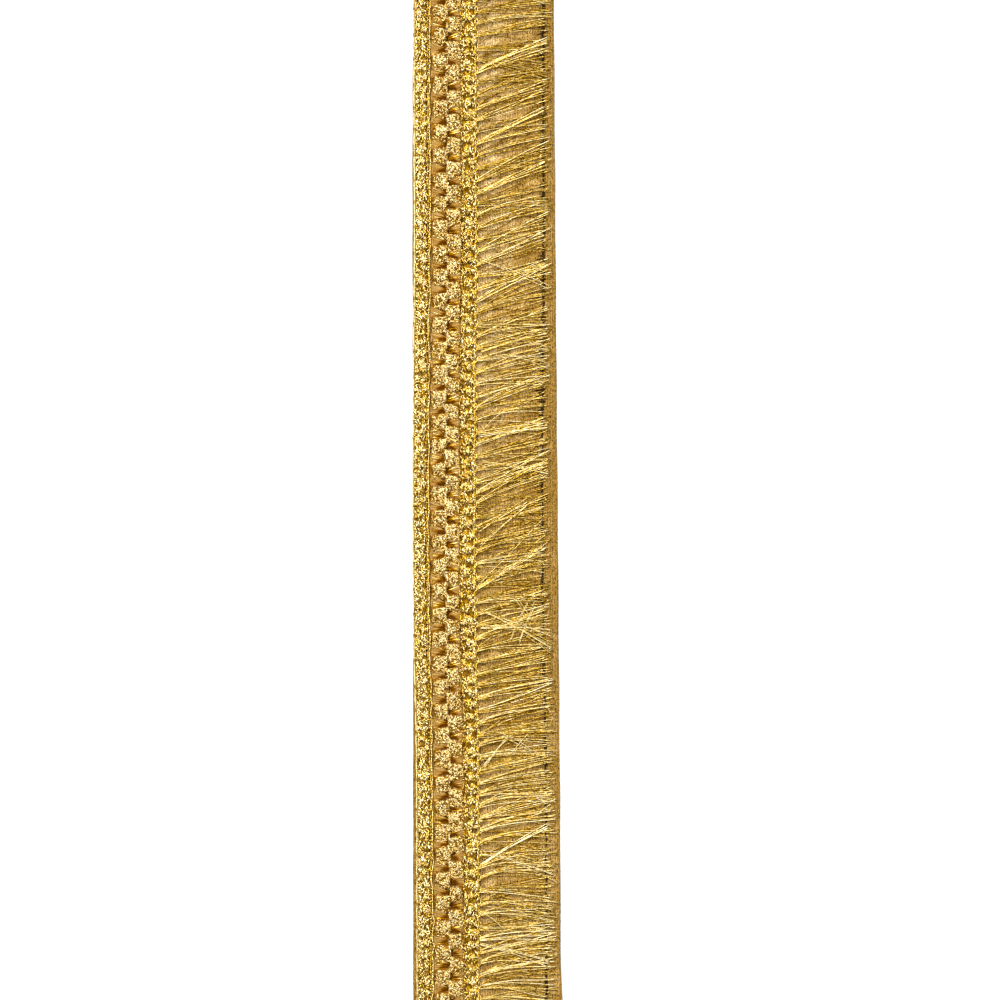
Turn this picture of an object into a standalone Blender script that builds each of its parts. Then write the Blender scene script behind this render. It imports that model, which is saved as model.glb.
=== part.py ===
"""Wired velvet ribbon with a knitted gold trim on its face, a cut length lying flat.

The length runs along Y, the width along X, and the underside lies on z = 0.
The trim is two looped gimp bands with a zigzag of fat chenille between them and
a cut fringe that leaves the right band and lies over the velvet. Everything
across the trim is placed from one seam line, which wanders a little on the ribbon.
"""

import math
import random

import bmesh
import bpy

# Length: the trim is knitted in courses, eight to the inch
COURSE = 0.003175
COURSES = 88
LENGTH = COURSE * COURSES
TOP_END = LENGTH / 2

# The ribbon's edges and the trim's seam line, by distance from the top end
OUTLINE = (
    # from_top, left_edge, right_edge, seam_line
    (0.0000, -0.01970, 0.01740, -0.01496),
    (0.0079, -0.01970, 0.01744, -0.01494),
    (0.0470, -0.01985, 0.01771, -0.01482),
    (0.0740, -0.01985, 0.01788, -0.01475),
    (0.1130, -0.01974, 0.01820, -0.01508),
    (0.1550, -0.01968, 0.01855, -0.01512),
    (0.1790, -0.01968, 0.01874, -0.01486),
    (0.2000, -0.01968, 0.01889, -0.01433),
    (0.2240, -0.01968, 0.01908, -0.01415),
    (0.2610, -0.01966, 0.01929, -0.01405),
    (0.2740, -0.01966, 0.01975, -0.01404),
    (LENGTH, -0.01966, 0.01985, -0.01404),
)
OUTLINE_COLUMNS = {"left_edge": 1, "right_edge": 2, "seam_line": 3}
STATIONS = 28

# The velvet ribbon: its thickness, and grooves beside its hem and its wire casing
RIBBON_THICKNESS = 0.0010
EDGE_ROUND = 0.0004
HEM_STITCH_OFFSET = 0.0295
GROOVE_WIDTH = 0.0005
GROOVE_DEPTH = 0.0003
CASING_WIDTH = 0.0010
CASING_SIDES = 5

# Trim pieces lie this high, just clear of the velvet
TRIM_FLOOR = 0.0013

# Straight cords, by name: distance from the seam line, radius, height of the underside
CORDS = (
    # name, offset, radius, underside
    ("left_outer_cord", -0.00435, 0.00035, TRIM_FLOOR),
    ("left_inner_cord", -0.00075, 0.00030, TRIM_FLOOR),
    ("right_inner_cord", 0.00770, 0.00020, TRIM_FLOOR),
    ("picot_cord", 0.01170, 0.00028, 0.00220),
)
CORD_SIDES = 6

# Looped gimp bands, by name: where they start and end from the seam line, and the loops' height
GIMPS = (
    # name, near_edge, far_edge, crown_height, first_swing
    ("left_gimp", -0.00370, -0.00135, 0.00260, 1.0),
    ("right_gimp", 0.00820, 0.01110, 0.00270, -1.0),
)
GIMP_VALLEY_DROP = 0.0008
GIMP_SCALLOP = 0.00025
GIMP_SWING = 0.0003
GIMP_SHOULDER = 0.26

# Chenille: one tuft to a course, on the left and on the right by turns. Each is highest at
# its upper end and slopes down to its tail, and neighbours join at their corners.
TUFT_LEFT_SIDE = (0.00010, 0.00405)
TUFT_RIGHT_SIDE = (0.00335, 0.00720)
TUFT_CHANGEOVER = (0.00060, 0.00675)
TUFT_RINGS = (
    # share of the course, crown height
    (0.12, 0.0028),
    (0.86, 0.0034),
)
TUFT_CHANGEOVER_CROWN = 0.0025
TUFT_SIDE_HEIGHT = 0.62
TUFT_SHOULDER = 0.0009

# Fringe: three locks to a course, rooted in a narrow heading strip
HEADING = (0.01140, 0.01200)
HEADING_HEIGHT = 0.0006
LOCKS_PER_COURSE = 3
LOCK_PITCH_AT_ROOT = 0.00066
LOCK_ROOT_WIDTH = 0.00036
LOCK_LENGTH = 0.0190
LOCK_LENGTH_JITTER = 0.0012
LOCK_TIP_JITTER = 0.0002
LOCK_MIDDLE = (0.00046, 0.00050)
LOCK_TIP = (0.00020, 0.00026)
LOCK_BOW = 1.25
COMB_ANGLES = (
    # from_top, degrees that the fringe leans towards the top end
    (0.000, 0.0),
    (0.008, 7.0),
    (0.030, 16.0),
    (0.050, 17.0),
    (0.100, 13.0),
    (0.150, 11.0),
    (0.200, 8.0),
    (0.240, 4.0),
    (0.270, 2.0),
    (LENGTH, 0.0),
)

# Finishes: colour, roughness and metallic value of each material
FINISHES = {
    "tan_velvet": ((0.42, 0.27, 0.12), 0.80, 0.0),
    "gold_cord": ((0.60, 0.42, 0.16), 0.40, 0.6),
    "gold_loops": ((0.66, 0.46, 0.16), 0.35, 0.8),
    "glitter_chenille": ((0.68, 0.48, 0.20), 0.45, 0.6),
    "gold_thread": ((0.62, 0.45, 0.16), 0.40, 0.6),
}


def clear_scene():
    for found in list(bpy.data.objects):
        bpy.data.objects.remove(found, do_unlink=True)


def finish_of(name):
    colour, roughness, metallic = FINISHES[name]
    material = bpy.data.materials.get(name) or bpy.data.materials.new(name)
    material.use_nodes = True
    shader = material.node_tree.nodes["Principled BSDF"]
    shader.inputs["Base Color"].default_value = (*colour, 1.0)
    shader.inputs["Roughness"].default_value = roughness
    shader.inputs["Metallic"].default_value = metallic
    return material


def read_table(table, column, from_top):
    """The table's column at a distance from the top end, on a smooth curve through its rows."""
    last = len(table) - 1
    row = 0
    while row < last - 1 and from_top > table[row + 1][0]:
        row += 1
    before, here, there, after = (table[min(max(row + k, 0), last)] for k in (-1, 0, 1, 2))
    span = there[0] - here[0]
    share = min(max((from_top - here[0]) / span, 0.0), 1.0)
    slope_here = (there[column] - before[column]) / (there[0] - before[0]) * span
    slope_there = (after[column] - here[column]) / (after[0] - here[0]) * span
    square, cube = share * share, share * share * share
    return (
        (2 * cube - 3 * square + 1) * here[column]
        + (cube - 2 * square + share) * slope_here
        + (3 * square - 2 * cube) * there[column]
        + (cube - square) * slope_there
    )


def outline(name, y):
    return read_table(OUTLINE, OUTLINE_COLUMNS[name], TOP_END - y)


def seam(y):
    return outline("seam_line", y)


def comb_slope(y):
    return math.tan(math.radians(read_table(COMB_ANGLES, 1, TOP_END - y)))


def station_heights():
    return [-TOP_END + LENGTH * k / STATIONS for k in range(STATIONS + 1)]


def add_solid(name, points, faces, finish):
    mesh = bpy.data.meshes.new(name)
    mesh.from_pydata(points, [], faces)
    shape = bmesh.new()
    shape.from_mesh(mesh)
    bmesh.ops.recalc_face_normals(shape, faces=shape.faces)
    shape.to_mesh(mesh)
    shape.free()
    mesh.shade_smooth()
    mesh.set_sharp_from_angle(angle=math.radians(50))
    solid = bpy.data.objects.new(name, mesh)
    solid.data.materials.append(finish_of(finish))
    bpy.context.scene.collection.objects.link(solid)
    return solid


def loft(name, rings, finish):
    """One closed solid through rings of equally many points, with a flat cap at each end."""
    count = len(rings[0])
    points = [point for ring in rings for point in ring]
    faces = [list(range(count)), [(len(rings) - 1) * count + k for k in range(count)]]
    for ring in range(len(rings) - 1):
        for k in range(count):
            following = (k + 1) % count
            low, high = ring * count, (ring + 1) * count
            faces.append([low + k, low + following, high + following, high + k])
    return add_solid(name, points, faces, finish)


def groove(centre):
    """Three points across a shallow V in the ribbon's face."""
    half = GROOVE_WIDTH / 2
    return [
        (centre - half, RIBBON_THICKNESS),
        (centre, RIBBON_THICKNESS - GROOVE_DEPTH),
        (centre + half, RIBBON_THICKNESS),
    ]


def ribbon_section(y):
    left, right = outline("left_edge", y), outline("right_edge", y)
    radius = RIBBON_THICKNESS / 2
    section = [
        (left + EDGE_ROUND, 0.0),
        (left, radius),
        (left + EDGE_ROUND, RIBBON_THICKNESS),
    ]
    section += groove(seam(y) + HEM_STITCH_OFFSET)
    section += groove(right - CASING_WIDTH)
    for k in range(1, CASING_SIDES + 1):
        turn = math.pi / 2 - math.pi * k / CASING_SIDES
        section.append((right - radius + radius * math.cos(turn), radius + radius * math.sin(turn)))
    return [(x, y, z) for x, z in section]


def make_ribbon():
    loft("velvet_ribbon", [ribbon_section(y) for y in station_heights()], "tan_velvet")


def cord_section(y, offset, radius, underside):
    ring = []
    for k in range(CORD_SIDES):
        turn = 2 * math.pi * (k + 0.5) / CORD_SIDES
        x = seam(y) + offset + radius * math.cos(turn)
        ring.append((x, y, underside + radius + radius * math.sin(turn)))
    return ring


def make_cords():
    for name, offset, radius, underside in CORDS:
        rings = [cord_section(y, offset, radius, underside) for y in station_heights()]
        loft(name, rings, "gold_cord")


def gimp_section(y, near, far, crown, swing):
    shoulder = (far - near) * GIMP_SHOULDER
    across = seam(y)
    return [
        (across + near, y, TRIM_FLOOR),
        (across + near + shoulder + swing, y, crown),
        (across + far - shoulder + swing, y, crown),
        (across + far, y, TRIM_FLOOR),
    ]


def make_gimp(name, near, far, crown, first_swing):
    """A band with a raised loop where courses meet, each leaning to the other side in turn."""
    rings = []
    waist = (near + GIMP_SCALLOP, far - GIMP_SCALLOP, crown - GIMP_VALLEY_DROP, 0.0)
    for course in range(COURSES):
        start = -TOP_END + course * COURSE
        swing = GIMP_SWING * first_swing * (1 if course % 2 else -1)
        rings.append(gimp_section(start, near, far, crown, swing))
        rings.append(gimp_section(start + COURSE / 2, *waist))
    rings.append(gimp_section(TOP_END, near, far, crown, 0.0))
    loft(name, rings, "gold_loops")


def tuft_section(y, sides, crown):
    left, right = (seam(y) + side for side in sides)
    side_height = TRIM_FLOOR + (crown - TRIM_FLOOR) * TUFT_SIDE_HEIGHT
    return [
        (left, y, TRIM_FLOOR),
        (left, y, side_height),
        (left + TUFT_SHOULDER, y, crown),
        (right - TUFT_SHOULDER, y, crown),
        (right, y, side_height),
        (right, y, TRIM_FLOOR),
    ]


def make_chenille():
    """The fat yarn that swings from side to side, a squarish tuft at each swing."""
    rings = [tuft_section(-TOP_END, TUFT_CHANGEOVER, TUFT_CHANGEOVER_CROWN)]
    for course in range(COURSES):
        start = -TOP_END + course * COURSE
        sides = TUFT_RIGHT_SIDE if course % 2 else TUFT_LEFT_SIDE
        for share, crown in TUFT_RINGS:
            rings.append(tuft_section(start + share * COURSE, sides, crown))
        rings.append(tuft_section(start + COURSE, TUFT_CHANGEOVER, TUFT_CHANGEOVER_CROWN))
    loft("zigzag_chenille", rings, "glitter_chenille")


class SharedPoints:
    """Points of the fringe, each stored once and named by its index."""

    def __init__(self):
        self.points = []

    def add(self, x, y, z):
        self.points.append((x, y, z))
        return len(self.points) - 1

    def upright(self, x, y, height):
        """The low and high point of one upright edge that stands on the trim's floor."""
        return self.add(x, y, TRIM_FLOOR), self.add(x, y, TRIM_FLOOR + height)


def lock_ring(shared, x, y, width, height):
    """Four points round a lock: low and high at its lower side, then at its upper side."""
    lower = shared.upright(x, y - width / 2, height)
    upper = shared.upright(x, y + width / 2, height)
    return [lower[0], lower[1], upper[1], upper[0]]


def add_lock(shared, faces, root, x, y, chance, order):
    """One lock, from its root on the heading's wall to its tip. order is -1, 0 or 1 in its course."""
    slope = comb_slope(y)
    spread = order * (COURSE / LOCKS_PER_COURSE - LOCK_PITCH_AT_ROOT)
    length = LOCK_LENGTH - chance.uniform(0, LOCK_LENGTH_JITTER)
    tip_y = y + spread + length * slope + chance.uniform(-LOCK_TIP_JITTER, LOCK_TIP_JITTER)
    middle_y = y + spread / 2 + LOCK_LENGTH / 2 * slope * LOCK_BOW
    rings = [
        root,
        lock_ring(shared, x + LOCK_LENGTH / 2, middle_y, *LOCK_MIDDLE),
        lock_ring(shared, x + length, tip_y, *LOCK_TIP),
    ]
    for near, far in zip(rings, rings[1:]):
        for k in range(4):
            following = (k + 1) % 4
            faces.append([near[k], near[following], far[following], far[k]])
    faces.append(rings[-1])


def make_fringe():
    """The heading strip and its locks as one solid: each lock grows out of the strip's right wall."""
    chance = random.Random(7)
    shared = SharedPoints()
    faces = []
    half = LOCK_ROOT_WIDTH / 2
    near, far = HEADING
    back = shared.upright(seam(-TOP_END) + near, -TOP_END, HEADING_HEIGHT)
    front = shared.upright(seam(-TOP_END) + far, -TOP_END, HEADING_HEIGHT)
    faces.append([back[0], back[1], front[1], front[0]])
    for course in range(COURSES):
        start = -TOP_END + course * COURSE
        wall = [front]
        for order in (-1, 0, 1):
            y = start + COURSE / 2 + order * LOCK_PITCH_AT_ROOT
            x = seam(y) + far
            lower = shared.upright(x, y - half, HEADING_HEIGHT)
            upper = shared.upright(x, y + half, HEADING_HEIGHT)
            add_lock(shared, faces, [lower[0], lower[1], upper[1], upper[0]], x, y, chance, order)
            wall += [lower, upper]
        end = start + COURSE
        front = shared.upright(seam(end) + far, end, HEADING_HEIGHT)
        wall.append(front)
        next_back = shared.upright(seam(end) + near, end, HEADING_HEIGHT)
        for k in range(0, len(wall) - 1, 2):
            faces.append([wall[k][0], wall[k][1], wall[k + 1][1], wall[k + 1][0]])
        for level in (0, 1):
            for k in range(len(wall) - 1):
                faces.append([back[level], wall[k][level], wall[k + 1][level]])
            faces.append([back[level], wall[-1][level], next_back[level]])
        faces.append([back[0], back[1], next_back[1], next_back[0]])
        back = next_back
    faces.append([back[0], back[1], front[1], front[0]])
    add_solid("cut_fringe", shared.points, faces, "gold_thread")


def main():
    clear_scene()
    make_ribbon()
    make_cords()
    for band in GIMPS:
        make_gimp(*band)
    make_chenille()
    make_fringe()


main()
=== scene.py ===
"""Looks of a cut length of wired velvet ribbon with a knitted gold trim, seen from straight above.

The length runs along Y, the width along X, and the ribbon lies on z = 0. Every trim piece is
placed from one seam line. Sizes are in metres: what is given in millimetres is multiplied by MM.
"""

import math

import bpy
import numpy as np
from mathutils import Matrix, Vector


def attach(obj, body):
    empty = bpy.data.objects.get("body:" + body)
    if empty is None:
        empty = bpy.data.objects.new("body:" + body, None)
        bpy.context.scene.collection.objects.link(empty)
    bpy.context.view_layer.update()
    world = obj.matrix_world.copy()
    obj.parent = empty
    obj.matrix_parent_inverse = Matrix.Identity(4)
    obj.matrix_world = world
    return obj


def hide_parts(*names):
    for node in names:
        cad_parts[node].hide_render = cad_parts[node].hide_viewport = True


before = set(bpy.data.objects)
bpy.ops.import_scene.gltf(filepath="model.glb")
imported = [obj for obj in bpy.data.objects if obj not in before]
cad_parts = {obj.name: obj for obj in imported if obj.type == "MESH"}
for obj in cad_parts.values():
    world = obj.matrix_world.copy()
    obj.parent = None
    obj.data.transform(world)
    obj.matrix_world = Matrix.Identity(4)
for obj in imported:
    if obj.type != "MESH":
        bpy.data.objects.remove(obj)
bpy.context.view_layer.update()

MM = 0.001

# Length: the trim is knitted in courses, eight to the inch, and the chenille repeats every two
COURSE = 3.175 * MM
COURSES = 88
REPEAT = 2 * COURSE
LENGTH = COURSE * COURSES
TOP_END = LENGTH / 2

# The ribbon's edges and the trim's seam line in metres, by distance from the top end
OUTLINE = (
    # from_top, left_edge, right_edge, seam_line
    (0.0000, -0.01970, 0.01740, -0.01496),
    (0.0079, -0.01970, 0.01744, -0.01494),
    (0.0470, -0.01985, 0.01771, -0.01482),
    (0.0740, -0.01985, 0.01788, -0.01475),
    (0.1130, -0.01974, 0.01820, -0.01508),
    (0.1550, -0.01968, 0.01855, -0.01512),
    (0.1790, -0.01968, 0.01874, -0.01486),
    (0.2000, -0.01968, 0.01889, -0.01433),
    (0.2240, -0.01968, 0.01908, -0.01415),
    (0.2610, -0.01966, 0.01929, -0.01405),
    (0.2740, -0.01966, 0.01975, -0.01404),
    (LENGTH, -0.01966, 0.01985, -0.01404),
)
LEFT_EDGE, RIGHT_EDGE, SEAM_LINE = 1, 2, 3
COMB_ANGLES = (
    # from_top, degrees that the fringe leans towards the top end
    (0.000, 0.0),
    (0.008, 7.0),
    (0.030, 16.0),
    (0.050, 17.0),
    (0.100, 13.0),
    (0.150, 11.0),
    (0.200, 8.0),
    (0.240, 6.0),
    (0.270, 4.0),
    (LENGTH, 0.0),
)

# Heights shared by the pieces
VELVET_TOP = 0.98 * MM
TRIM_FLOOR = 1.3 * MM

# Camera: the photo's pixels span this width of the ribbon's plane. Lens and sensor have no MM,
# because Blender takes them in millimetres
PHOTO_PIXELS = 1000
PHOTO_WIDTH = 263.67 * MM
PHOTO_CENTRE = (3.26 * MM, 0.0)
LENS = 200.0
SENSOR = 36.0


def read_table(table, column, from_top):
    """The table's column at a distance from the top end, on a smooth curve through its rows."""
    last = len(table) - 1
    row = 0
    while row < last - 1 and from_top > table[row + 1][0]:
        row += 1
    before, here, there, after = (table[min(max(row + k, 0), last)] for k in (-1, 0, 1, 2))
    span = there[0] - here[0]
    share = min(max((from_top - here[0]) / span, 0.0), 1.0)
    slope_here = (there[column] - before[column]) / (there[0] - before[0]) * span
    slope_there = (after[column] - here[column]) / (after[0] - here[0]) * span
    square, cube = share * share, share * share * share
    return (
        (2 * cube - 3 * square + 1) * here[column]
        + (cube - 2 * square + share) * slope_here
        + (3 * square - 2 * cube) * there[column]
        + (cube - square) * slope_there
    )


STATION_COUNT = 561
STATIONS = np.linspace(0.0, LENGTH, STATION_COUNT)


def curve_of(table, column):
    values = np.array([read_table(table, column, station) for station in STATIONS])
    return lambda y: np.interp(TOP_END - y, STATIONS, values)


left_edge = curve_of(OUTLINE, LEFT_EDGE)
right_edge = curve_of(OUTLINE, RIGHT_EDGE)
seam = curve_of(OUTLINE, SEAM_LINE)
comb_angle = curve_of(COMB_ANGLES, 1)


# Mesh building


def smooth_step(low, high, value):
    share = np.clip((value - low) / (high - low), 0.0, 1.0)
    return share * share * (3 - 2 * share)


def as_points(across, along, rise):
    """Points by x, y and z, all spread to one shape."""
    return np.stack(np.broadcast_arrays(across, along, rise), -1)


class Bundle:
    """Closed shapes gathered into one mesh. Each point has a tone, which its material reads."""

    def __init__(self):
        self.points = []
        self.tones = []
        self.faces = {}
        self.count = 0

    def add_lofts(self, rings, tones):
        """Closed bodies through rings: bodies, rings of a body, points of a ring, and x, y, z.

        Seen from its last ring, a body's rings turn clockwise.
        """
        bodies, steps, sides = rings.shape[:3]
        ring = np.arange(sides)
        following = (ring + 1) % sides
        low = (np.arange(bodies)[:, None] * steps + np.arange(steps - 1))[..., None] * sides
        walls = np.stack([low + ring, low + sides + ring, low + sides + following, low + following], -1)
        first = np.arange(bodies)[:, None] * steps * sides + ring
        last = first + (steps - 1) * sides
        for group in (walls, first, last[:, ::-1]):
            corners = group.shape[-1]
            self.faces.setdefault(corners, []).append(group.reshape(-1, corners) + self.count)
        self.points.append(rings.reshape(-1, 3))
        self.tones.append(np.broadcast_to(tones, rings.shape[:3]).reshape(-1))
        self.count += bodies * steps * sides

    def add_tubes(self, paths, radii, sides, tones, roll=0.0, flat=1.0):
        """Closed tubes along paths: strands, points of a strand, and x, y, z.

        radii, tones and flat may differ round a ring, roll from ring to ring.
        """
        shape = (*paths.shape[:2], sides)
        ahead = np.gradient(paths, axis=1)
        ahead /= np.maximum(np.linalg.norm(ahead, axis=2, keepdims=True), 1e-12)
        across = np.cross(ahead, (0.08, 0.05, 0.995))
        across /= np.maximum(np.linalg.norm(across, axis=2, keepdims=True), 1e-12)
        lift = np.cross(across, ahead)
        turn = 2 * math.pi * np.arange(sides) / sides
        radii = np.broadcast_to(radii, shape)
        wide = radii * np.cos(turn)
        high = radii * flat * np.sin(turn)
        roll = np.broadcast_to(roll, shape[:2])[..., None]
        sideways = wide * np.cos(roll) - high * np.sin(roll)
        upwards = wide * np.sin(roll) + high * np.cos(roll)
        rings = (
            paths[:, :, None, :]
            + sideways[..., None] * across[:, :, None, :]
            + upwards[..., None] * lift[:, :, None, :]
        )
        self.add_lofts(rings, tones)

    def make(self, name, slot, material, nodes=()):
        """The gathered shapes as one piece of the part."""
        mesh = bpy.data.meshes.new(name)
        points = np.concatenate(self.points)
        groups = [np.concatenate(found) for found in self.faces.values()]
        corners = np.concatenate([group.ravel() for group in groups])
        sizes = np.concatenate([np.full(len(group), group.shape[1]) for group in groups])
        mesh.vertices.add(len(points))
        mesh.vertices.foreach_set("co", points.astype(np.float32).ravel())
        mesh.loops.add(len(corners))
        mesh.loops.foreach_set("vertex_index", corners.astype(np.int32))
        mesh.polygons.add(len(sizes))
        mesh.polygons.foreach_set("loop_start", (np.cumsum(sizes) - sizes).astype(np.int32))
        mesh.update(calc_edges=True)
        mesh.polygons.foreach_set("use_smooth", np.full(len(sizes), True))
        tone = mesh.attributes.new("tone", "FLOAT", "POINT")
        tone.data.foreach_set("value", np.concatenate(self.tones).astype(np.float32))
        mesh.materials.append(material)
        piece = bpy.data.objects.new(name, mesh)
        bpy.context.scene.collection.objects.link(piece)
        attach(piece, "root")
        if nodes:
            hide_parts(*nodes)
        return piece


def along_length(step):
    """Rows along the whole ribbon by their y, about a step apart."""
    return np.linspace(-TOP_END, TOP_END, int(round(LENGTH / step)) + 1)


def course_middles():
    return -TOP_END + (np.arange(COURSES) + 0.5) * COURSE


# Materials


class Finish:
    """A material on Blender's Principled shader, with helpers for its nodes."""

    def __init__(self, name, **values):
        self.material = bpy.data.materials.new(name)
        self.material.use_nodes = True
        self.tree = self.material.node_tree
        self.shader = self.tree.nodes["Principled BSDF"]
        for socket, value in values.items():
            self.shader.inputs[socket.replace("_", " ")].default_value = value

    def node(self, kind, **settings):
        made = self.tree.nodes.new(kind)
        for key, value in settings.items():
            if key in made.inputs:
                made.inputs[key].default_value = value
            else:
                setattr(made, key, value)
        return made

    def link(self, output, socket):
        self.tree.links.new(output, socket)

    def place(self):
        return self.node("ShaderNodeTexCoord").outputs["Object"]

    def tone(self):
        return self.node("ShaderNodeAttribute", attribute_name="tone").outputs["Fac"]

    def noise(self, scale, detail=2.0, stretch=(1.0, 1.0, 1.0)):
        mapping = self.node("ShaderNodeMapping", Scale=stretch)
        self.link(self.place(), mapping.inputs["Vector"])
        made = self.node("ShaderNodeTexNoise", Scale=scale, Detail=detail)
        self.link(mapping.outputs["Vector"], made.inputs["Vector"])
        return made.outputs["Fac"]

    def ramp(self, value, stops):
        """A colour ramp over stops of (position, red, green, blue)."""
        made = self.node("ShaderNodeValToRGB")
        elements = made.color_ramp.elements
        while len(elements) < len(stops):
            elements.new(0.5)
        for element, (position, *colour) in zip(elements, stops):
            element.position = position
            element.color = (*colour, 1.0)
        self.link(value, made.inputs["Fac"])
        return made.outputs["Color"]

    def range(self, value, low, high, new_low, new_high):
        made = self.node("ShaderNodeMapRange")
        sockets = ("From Min", "From Max", "To Min", "To Max")
        for socket, number in zip(sockets, (low, high, new_low, new_high)):
            made.inputs[socket].default_value = number
        self.link(value, made.inputs["Value"])
        return made.outputs["Result"]

    def multiply(self, first, second):
        made = self.node("ShaderNodeMix", data_type="RGBA", blend_type="MULTIPLY")
        made.inputs[0].default_value = 1.0
        self.link(first, made.inputs[6])
        self.link(second, made.inputs[7])
        return made.outputs[2]

    def sum(self, first, second):
        made = self.node("ShaderNodeMath", operation="ADD")
        self.link(first, made.inputs[0])
        self.link(second, made.inputs[1])
        return made.outputs[0]

    def bump(self, height, distance):
        made = self.node("ShaderNodeBump", Distance=distance, Strength=1.0)
        self.link(height, made.inputs["Height"])
        self.link(made.outputs["Normal"], self.shader.inputs["Normal"])

    def colour(self, output):
        self.link(output, self.shader.inputs["Base Color"])

    def colour_by_tone(self, fine, swing, stops):
        """A colour over stops by each point's tone, which a fine noise swings."""
        value = self.sum(self.tone(), self.range(fine, *FINE_RANGE, -swing, swing))
        self.colour(self.ramp(value, stops))


EDGE_TINT = (1.0, 0.60, 0.14, 1.0)
SHEEN_TINT = (1.0, 0.82, 0.55, 1.0)

# The part of a fine noise's range that holds most of its values
FINE_RANGE = (0.3, 0.7)

# Colour ramps: position, red, green, blue
GOLD_SHADES = (
    (0.0, 0.27, 0.115, 0.0002),
    (0.35, 0.72, 0.455, 0.018),
    (0.75, 0.97, 0.74, 0.23),
    (1.0, 1.0, 0.94, 0.61),
)
PALE_SHADES = (
    (0.0, 0.24, 0.14, 0.02),
    (0.35, 0.68, 0.53, 0.19),
    (0.75, 0.94, 0.84, 0.46),
    (1.0, 1.0, 0.96, 0.70),
)
GLITTER_SHADES = (
    (0.0, 0.18, 0.070, 0.0006),
    (0.35, 0.63, 0.375, 0.040),
    (0.75, 0.95, 0.73, 0.27),
    (1.0, 1.0, 0.93, 0.60),
)
THREAD_SHADES = (
    (0.0, 0.18, 0.074, 0.0002),
    (0.35, 0.59, 0.36, 0.024),
    (0.7, 0.83, 0.64, 0.23),
    (1.0, 0.93, 0.83, 0.54),
)
# The gimps' ground ramp is dark: painted shade in the holes between the loops.
GROUND_PAINTED_SHADE_RAMP = (
    (0.0, 0.06, 0.024, 0.0003),
    (0.55, 0.24, 0.115, 0.004),
    (1.0, 0.62, 0.33, 0.03),
)
VELVET_SHADES = (
    (0.0, 0.29, 0.160, 0.030),
    (0.5, 0.43, 0.262, 0.078),
    (1.0, 0.66, 0.465, 0.205),
)
SATIN_SHADES = (
    (0.0, 0.11, 0.034, 0.0005),
    (0.3, 0.31, 0.130, 0.005),
    (0.6, 0.46, 0.265, 0.062),
    (1.0, 0.60, 0.41, 0.15),
)
STITCH_SHADES = (
    (0.0, 0.016, 0.007, 0.0015),
    (0.6, 0.07, 0.034, 0.008),
    (1.0, 0.20, 0.11, 0.03),
)
FLOOR_SHADES = (
    (0.0, 0.90, 0.90, 0.90),
    (1.0, 0.92, 0.92, 0.92),
)


def gold(name, stops, rough, metallic, grain=3200.0, stretch=(1.0, 1.0, 1.0), swing=0.25):
    """Metallic yarn in the colours of stops. rough is its roughness where the noise is low and high."""
    finish = Finish(name, Metallic=metallic, Specular_IOR_Level=0.1, Specular_Tint=EDGE_TINT)
    fine = finish.noise(grain, 3.0, stretch)
    finish.colour_by_tone(fine, swing, stops)
    finish.link(finish.range(fine, *FINE_RANGE, *rough), finish.shader.inputs["Roughness"])
    finish.bump(fine, 0.05 * MM)
    return finish.material


def gold_materials():
    thread_grain = {"grain": 2100.0, "stretch": (1.0, 1.6, 1.0), "swing": 0.46}
    return {
        "cord": gold("smooth_gold_cord", GOLD_SHADES, (0.25, 0.4), 1.0),
        "rail": gold("brushed_gold_cord", PALE_SHADES, (0.34, 0.5), 0.8),
        "loops": gold("crinkled_gold_loops", GOLD_SHADES, (0.22, 0.42), 0.88),
        "glitter": gold("pale_gold_glitter", GLITTER_SHADES, (0.24, 0.45), 0.75),
        "thread": gold("gold_fringe_thread", THREAD_SHADES, (0.34, 0.52), 0.8, **thread_grain),
        "ground": gold("gold_ground_painted_shade", GROUND_PAINTED_SHADE_RAMP, (0.35, 0.55), 0.7),
    }


def velvet():
    """Tan velvet with fine ribs along its length, mottled where the pile lies both ways."""
    finish = Finish(
        "tan_velvet",
        Roughness=0.85,
        Sheen_Weight=0.06,
        Sheen_Roughness=0.45,
        Sheen_Tint=SHEEN_TINT,
        Specular_IOR_Level=0.08,
        Specular_Tint=EDGE_TINT,
    )
    blotch = finish.noise(420.0, 3.0, (1.0, 0.45, 1.0))
    pile = finish.noise(4800.0, 2.0, (1.0, 0.5, 1.0))
    wave = finish.node("ShaderNodeTexWave", wave_type="BANDS", bands_direction="X", Scale=476.0)
    wave.inputs["Distortion"].default_value = 1.6
    wave.inputs["Detail Scale"].default_value = 900.0
    finish.link(finish.place(), wave.inputs["Vector"])
    ribs = wave.outputs["Fac"]
    patches = finish.range(blotch, 0.35, 0.65, 0.08, 0.70)
    own_tone = finish.range(finish.tone(), 0.0, 1.0, -0.5, 0.5)
    cloth = finish.ramp(finish.sum(patches, own_tone), VELVET_SHADES)
    pile_light = finish.range(pile, 0.36, 0.64, 0.26, 1.46)
    grain = finish.sum(pile_light, finish.range(ribs, 0.0, 1.0, -0.20, 0.12))
    shade = finish.node("ShaderNodeCombineColor")
    for channel in ("Red", "Green", "Blue"):
        finish.link(grain, shade.inputs[channel])
    finish.colour(finish.multiply(cloth, shade.outputs[0]))
    finish.bump(finish.sum(pile, finish.range(ribs, 0.0, 1.0, 0.0, 0.6)), 0.06 * MM)
    return finish.material


def satin():
    """Pinkish tan satin yarn of the chenille's folds."""
    finish = Finish(
        "tan_satin_yarn", Metallic=0.2, Roughness=0.5, Specular_IOR_Level=0.15, Specular_Tint=EDGE_TINT
    )
    fine = finish.noise(3600.0)
    finish.colour_by_tone(fine, 0.15, SATIN_SHADES)
    finish.bump(fine, 0.04 * MM)
    return finish.material


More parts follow.
